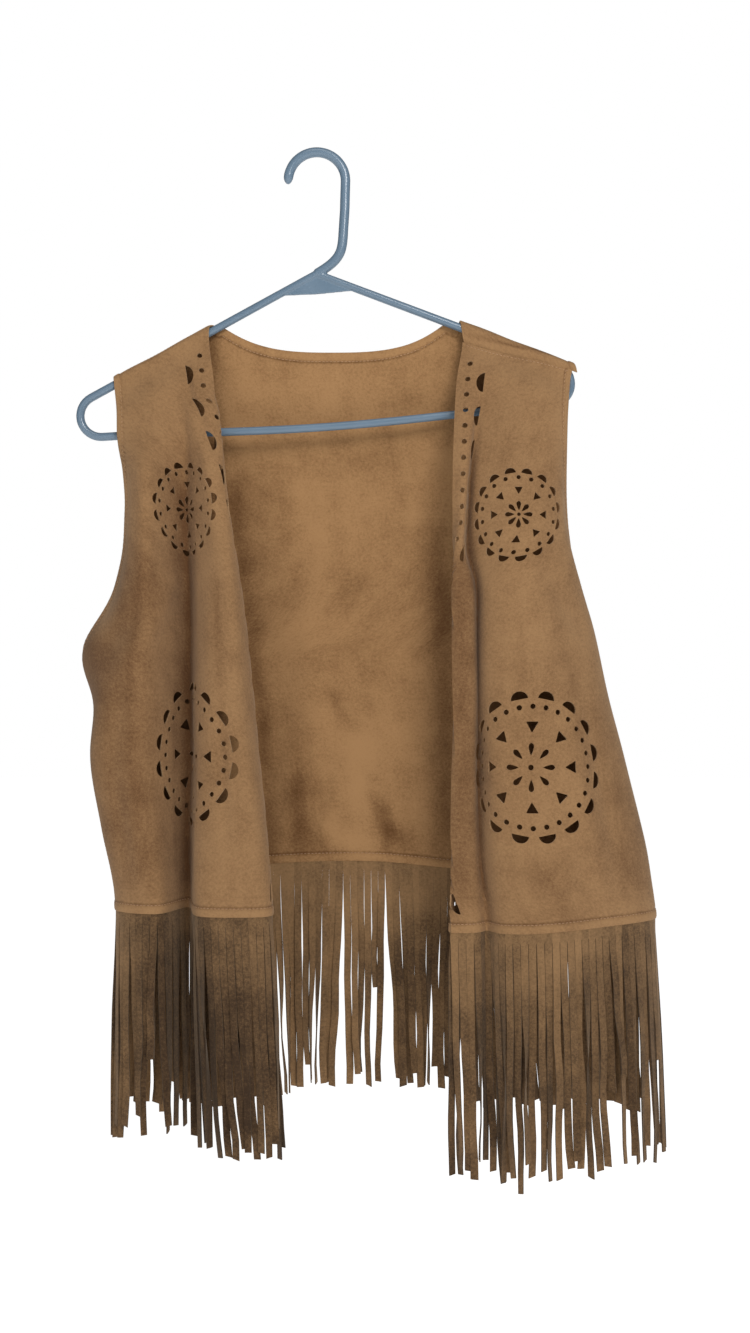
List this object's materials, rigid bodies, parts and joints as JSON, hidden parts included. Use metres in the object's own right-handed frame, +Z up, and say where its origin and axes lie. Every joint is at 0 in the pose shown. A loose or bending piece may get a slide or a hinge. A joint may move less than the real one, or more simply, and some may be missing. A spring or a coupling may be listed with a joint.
{
  "type": "fringed western vest on a clothes hanger",
  "caption": "Open-front suede vest with cut-out rosettes, a cut border down its front edges and a fringed hem, hanging in soft folds on a moulded tube hanger.",
  "frame": {"origin": "inner top of the hanger's hook, where a rail or nail holds it", "axes": "+Z up, the vest's front faces -Y, +X to the right as seen from the front"},
  "size_m": [0.4964, 0.1178, 0.8487],
  "materials": {
    "suede": "soft tan suede nap",
    "fringe": "darker suede nap",
    "hanger": "satin moulded plastic"
  },
  "bodies": {
    "root": {"back": "suede", "front_left": "suede", "front_right": "suede", "fringe_back": "fringe", "fringe_front_left": "fringe", "fringe_front_right": "fringe", "hanger_hook": "hanger", "hanger_arm_left": "hanger", "hanger_arm_right": "hanger", "hanger_gusset": "hanger", "hanger_loop_left": "hanger", "hanger_loop_right": "hanger", "hanger_bar": "hanger"}
  },
  "joints": []
}
